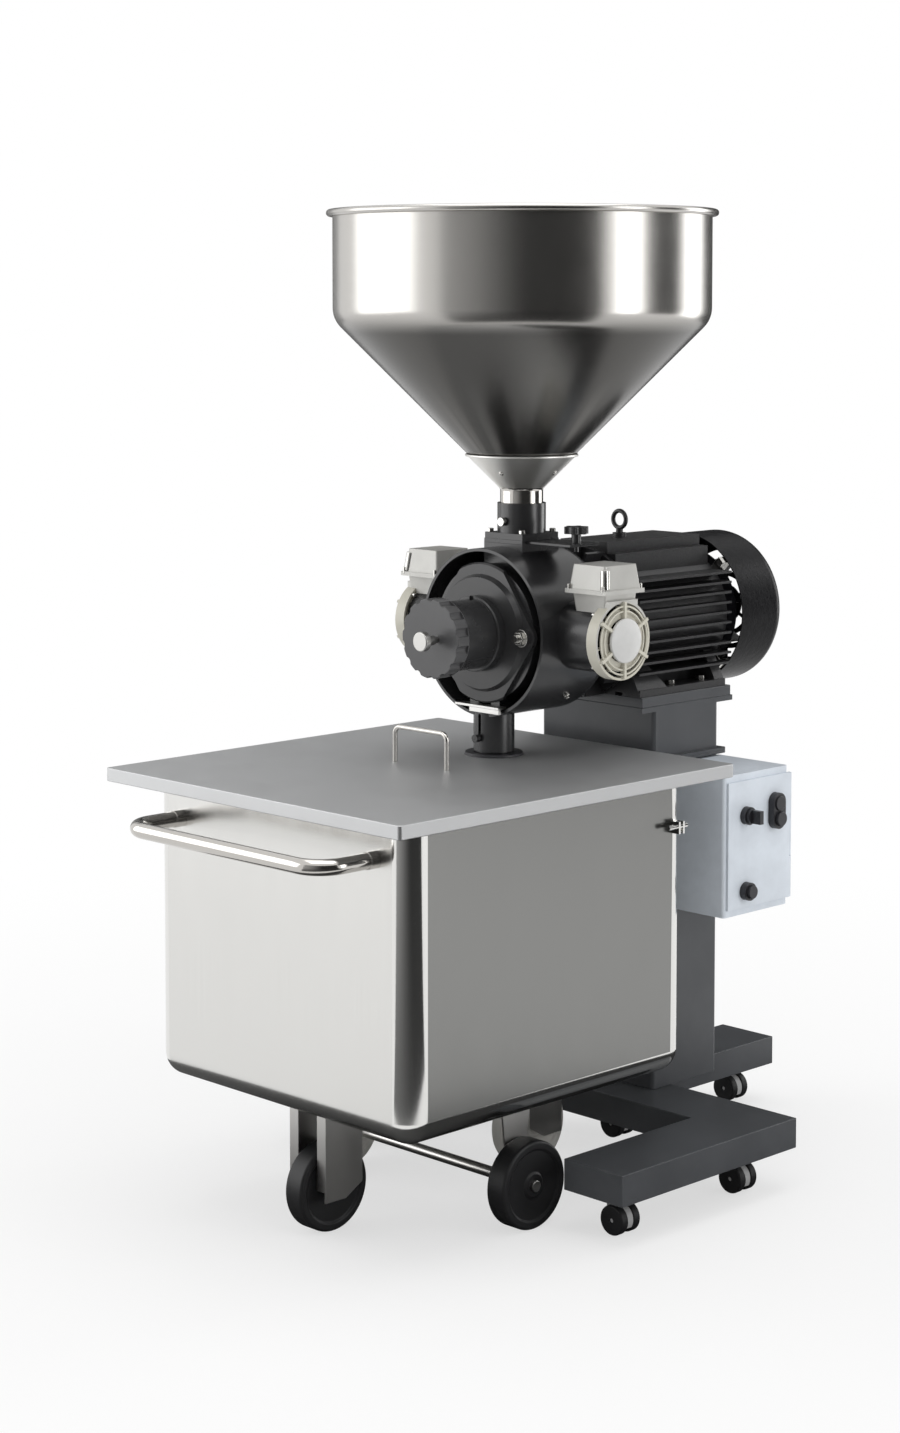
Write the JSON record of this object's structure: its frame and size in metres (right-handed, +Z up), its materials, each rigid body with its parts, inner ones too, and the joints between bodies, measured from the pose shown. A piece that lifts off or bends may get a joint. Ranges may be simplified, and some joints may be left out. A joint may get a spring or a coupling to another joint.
{
  "type": "industrial coffee grinder",
  "caption": "Floor-standing disc coffee grinder with a round hopper, rear motor, wheeled stand and a lidded receiving bin on a cart that rolls out from under the spout.",
  "frame": {"origin": "middle of the machine's outline, on the floor", "axes": "+Z up; -Y towards the hand wheel and the bin's push handle, +Y towards the motor; +X towards the control box"},
  "size_m": [0.8, 1.2704, 1.6098],
  "materials": {
    "stainless": "satin",
    "black_paint": "satin",
    "grey_paint": "satin",
    "machined_steel": "machined",
    "burr_steel": "ground",
    "gate_black": "satin",
    "fan_grey": "satin",
    "impeller_black": "matte",
    "box_grey": "satin",
    "black_plastic": "satin",
    "tyre_black": "satin",
    "tyre_grey": "satin",
    "twin_body": "satin",
    "twin_tread": "matte"
  },
  "bodies": {
    "stand": {"base_frame": "grey_paint", "column": "grey_paint", "riser": "grey_paint", "motor_plate": "grey_paint", "motor_frame": "black_paint", "motor_shield": "black_paint", "motor_cowl": "black_paint", "eyebolt": "black_paint", "grinder_housing": "black_paint", "front_cover": "black_paint", "hub_collar": "black_paint", "fixed_burr": "burr_steel", "bearings": "machined_steel", "bolts": "stainless", "strip_bracket": "stainless", "outlet_chute": "black_paint", "feed_tube": "black_paint", "gate_body": "black_paint", "hopper": "stainless", "hopper_collar": "stainless", "side_fan_right": "fan_grey", "side_fan_left": "fan_grey", "control_enclosure": "box_grey"},
    "rotor": {"main_shaft": "machined_steel", "rotating_burr": "burr_steel", "motor_fan": "impeller_black"},
    "hand_wheel": {"hand_wheel": "black_paint"},
    "lock_pin": {"lock_pin": "machined_steel"},
    "gate": {"gate_slide": "gate_black"},
    "sleeve": {"outlet_sleeve": "stainless"},
    "impeller_right": {"impeller_right": "impeller_black"},
    "impeller_left": {"impeller_left": "impeller_black"},
    "door": {"control_door": "box_grey"},
    "rotary_switch": {"rotary_switch": "black_plastic"},
    "start_button": {"start_button": "black_plastic"},
    "stop_button": {"stop_button": "black_plastic"},
    "push_button": {"push_button": "black_plastic"},
    "cart": {"bin_body": "stainless", "bin_lid": "stainless", "lid_handle": "stainless", "push_handle": "stainless", "axle": "stainless"},
    "wheel_right": {"wheel_right": "tyre_black"},
    "wheel_left": {"wheel_left": "tyre_grey"},
    "fork_front": {"fork_front": "stainless"},
    "fork_rear": {"fork_rear": "stainless"},
    "caster_wheel_front": {"caster_wheel_front": "tyre_black"},
    "caster_wheel_rear": {"caster_wheel_rear": "tyre_grey"},
    "caster_front_right": {"caster_front_right": "twin_body"},
    "caster_wheels_front_right": {"caster_wheels_front_right": "twin_tread"},
    "caster_front_left": {"caster_front_left": "twin_body"},
    "caster_wheels_front_left": {"caster_wheels_front_left": "twin_tread"},
    "caster_rear_right": {"caster_rear_right": "twin_body"},
    "caster_wheels_rear_right": {"caster_wheels_rear_right": "twin_tread"},
    "caster_rear_left": {"caster_rear_left": "twin_body"},
    "caster_wheels_rear_left": {"caster_wheels_rear_left": "twin_tread"},
    "caster_centre": {"caster_centre": "twin_body"},
    "caster_wheels_centre": {"caster_wheels_centre": "twin_tread"},
    "caster_tail": {"caster_tail": "twin_body"},
    "caster_wheels_tail": {"caster_wheels_tail": "twin_tread"}
  },
  "joints": [
    {"name": "rotor_spin", "type": "hinge", "parent": "stand", "child": "rotor", "pos_m": [0, 0.05725, 0.916], "axis": [0, 1, 0], "continuous": true},
    {"name": "hand_wheel_turn", "type": "hinge", "parent": "stand", "child": "hand_wheel", "pos_m": [0, -0.16275, 0.916], "axis": [0, 1, 0], "range_deg": [-150, 150]},
    {"name": "lock_pin_pull", "type": "slide", "parent": "hand_wheel", "child": "lock_pin", "axis": [0, -1, 0], "range_m": [0, 0.008], "stiffness_N_per_m": 400, "springref_m": -0.005},
    {"name": "gate_pull", "type": "slide", "parent": "stand", "child": "gate", "axis": [1, 0, 0], "range_m": [0, 0.078]},
    {"name": "sleeve_lift", "type": "slide", "parent": "stand", "child": "sleeve", "axis": [0, 0, 1], "range_m": [0, 0.035]},
    {"name": "impeller_right_spin", "type": "hinge", "parent": "stand", "child": "impeller_right", "pos_m": [0.22, 0.02725, 0.916], "axis": [1, 0, 0], "continuous": true},
    {"name": "impeller_left_spin", "type": "hinge", "parent": "stand", "child": "impeller_left", "pos_m": [-0.22, 0.02725, 0.916], "axis": [1, 0, 0], "continuous": true},
    {"name": "door_hinge", "type": "hinge", "parent": "stand", "child": "door", "pos_m": [0.283, 0.39275, 0.558], "axis": [0, 0, 1], "range_deg": [0, 110]},
    {"name": "rotary_switch_turn", "type": "hinge", "parent": "door", "child": "rotary_switch", "pos_m": [0.3, 0.27225, 0.607], "axis": [1, 0, 0], "range_deg": [0, 90]},
    {"name": "start_button_push", "type": "slide", "parent": "door", "child": "start_button", "axis": [-1, 0, 0], "range_m": [0, 0.004], "stiffness_N_per_m": 500, "springref_m": -0.002},
    {"name": "stop_button_push", "type": "slide", "parent": "door", "child": "stop_button", "axis": [-1, 0, 0], "range_m": [0, 0.004], "stiffness_N_per_m": 500, "springref_m": -0.002},
    {"name": "push_button_push", "type": "slide", "parent": "door", "child": "push_button", "axis": [-1, 0, 0], "range_m": [0, 0.004], "stiffness_N_per_m": 500, "springref_m": -0.002},
    {"name": "cart_roll_out", "type": "slide", "parent": "stand", "child": "cart", "axis": [0, -1, 0], "range_m": [0, 0.8]},
    {"name": "wheel_right_roll", "type": "hinge", "parent": "cart", "child": "wheel_right", "pos_m": [0.216, -0.17855, 0.0705], "axis": [1, 0, 0], "continuous": true},
    {"name": "wheel_left_roll", "type": "hinge", "parent": "cart", "child": "wheel_left", "pos_m": [-0.216, -0.17855, 0.0705], "axis": [1, 0, 0], "continuous": true},
    {"name": "fork_front_swivel", "type": "hinge", "parent": "cart", "child": "fork_front", "pos_m": [0, -0.37175, 0.205], "axis": [0, 0, 1], "continuous": true},
    {"name": "fork_rear_swivel", "type": "hinge", "parent": "cart", "child": "fork_rear", "pos_m": [0, 0.01465, 0.205], "axis": [0, 0, 1], "continuous": true},
    {"name": "caster_wheel_front_roll", "type": "hinge", "parent": "fork_front", "child": "caster_wheel_front", "pos_m": [0, -0.40775, 0.0705], "axis": [1, 0, 0], "continuous": true},
    {"name": "caster_wheel_rear_roll", "type": "hinge", "parent": "fork_rear", "child": "caster_wheel_rear", "pos_m": [0, 0.05065, 0.0705], "axis": [1, 0, 0], "continuous": true},
    {"name": "caster_front_right_swivel", "type": "hinge", "parent": "stand", "child": "caster_front_right", "pos_m": [0.3225, -0.09225, 0.058], "axis": [0, 0, 1], "continuous": true},
    {"name": "caster_front_right_roll", "type": "hinge", "parent": "caster_front_right", "child": "caster_wheels_front_right", "pos_m": [0.3385, -0.09225, 0.024], "axis": [0, 1, 0], "continuous": true},
    {"name": "caster_front_left_swivel", "type": "hinge", "parent": "stand", "child": "caster_front_left", "pos_m": [-0.3545, -0.09225, 0.058], "axis": [0, 0, 1], "continuous": true},
    {"name": "caster_front_left_roll", "type": "hinge", "parent": "caster_front_left", "child": "caster_wheels_front_left", "pos_m": [-0.3385, -0.09225, 0.024], "axis": [0, 1, 0], "continuous": true},
    {"name": "caster_rear_right_swivel", "type": "hinge", "parent": "stand", "child": "caster_rear_right", "pos_m": [0.3225, 0.19625, 0.058], "axis": [0, 0, 1], "continuous": true},
    {"name": "caster_rear_right_roll", "type": "hinge", "parent": "caster_rear_right", "child": "caster_wheels_rear_right", "pos_m": [0.3385, 0.19625, 0.024], "axis": [0, 1, 0], "continuous": true},
    {"name": "caster_rear_left_swivel", "type": "hinge", "parent": "stand", "child": "caster_rear_left", "pos_m": [-0.3545, 0.19625, 0.058], "axis": [0, 0, 1], "continuous": true},
    {"name": "caster_rear_left_roll", "type": "hinge", "parent": "caster_rear_left", "child": "caster_wheels_rear_left", "pos_m": [-0.3385, 0.19625, 0.024], "axis": [0, 1, 0], "continuous": true},
    {"name": "caster_centre_swivel", "type": "hinge", "parent": "stand", "child": "caster_centre", "pos_m": [-0.016, 0.27925, 0.058], "axis": [0, 0, 1], "continuous": true},
    {"name": "caster_centre_roll", "type": "hinge", "parent": "caster_centre", "child": "caster_wheels_centre", "pos_m": [0, 0.27925, 0.024], "axis": [0, 1, 0], "continuous": true},
    {"name": "caster_tail_swivel", "type": "hinge", "parent": "stand", "child": "caster_tail", "pos_m": [-0.016, 0.58725, 0.058], "axis": [0, 0, 1], "continuous": true},
    {"name": "caster_tail_roll", "type": "hinge", "parent": "caster_tail", "child": "caster_wheels_tail", "pos_m": [0, 0.58725, 0.024], "axis": [0, 1, 0], "continuous": true}
  ]
}
